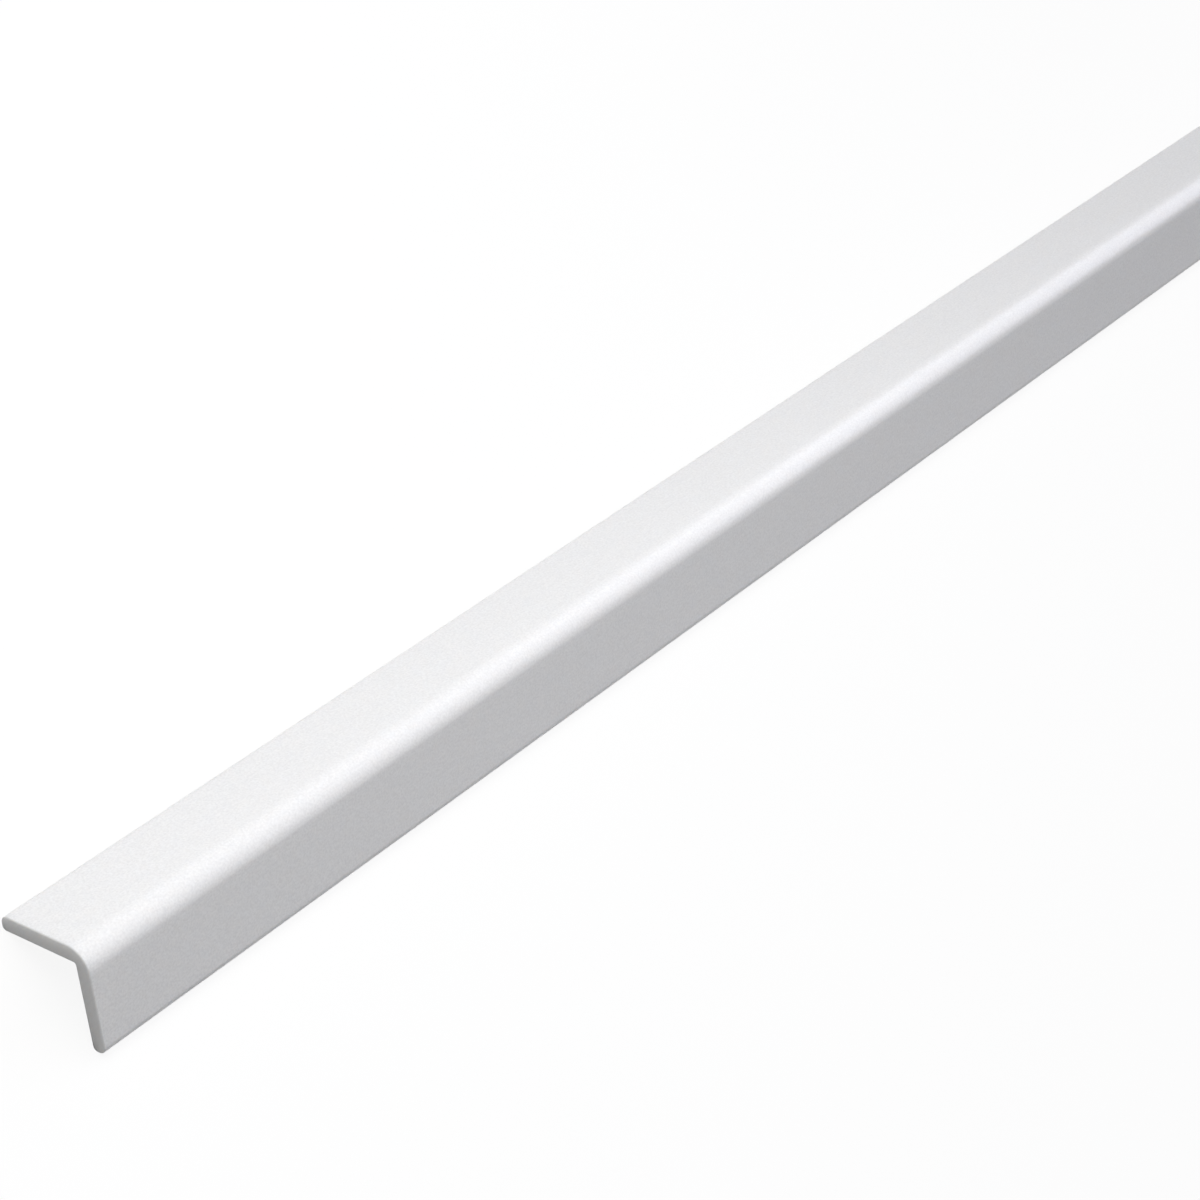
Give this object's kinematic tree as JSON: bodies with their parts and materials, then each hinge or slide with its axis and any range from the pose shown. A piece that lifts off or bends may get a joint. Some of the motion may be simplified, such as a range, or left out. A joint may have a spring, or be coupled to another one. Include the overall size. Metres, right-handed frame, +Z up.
{
  "type": "corner guard moulding",
  "caption": "Straight white plastic angle moulding with equal legs, a rounded outer corner and rounded free edges, which covers and guards an outside wall corner.",
  "frame": {"origin": "on the floor under the middle of the length, midway between the two free edges", "axes": "+X along the length, +Y towards leg A's free edge, +Z up through the ridge"},
  "size_m": [1.2192, 0.0256, 0.0134],
  "materials": {
    "white_plastic": "satin white rigid PVC, smooth from the extrusion die, square-sawn ends"
  },
  "bodies": {
    "root": {"corner_guard": "white_plastic"}
  },
  "joints": []
}
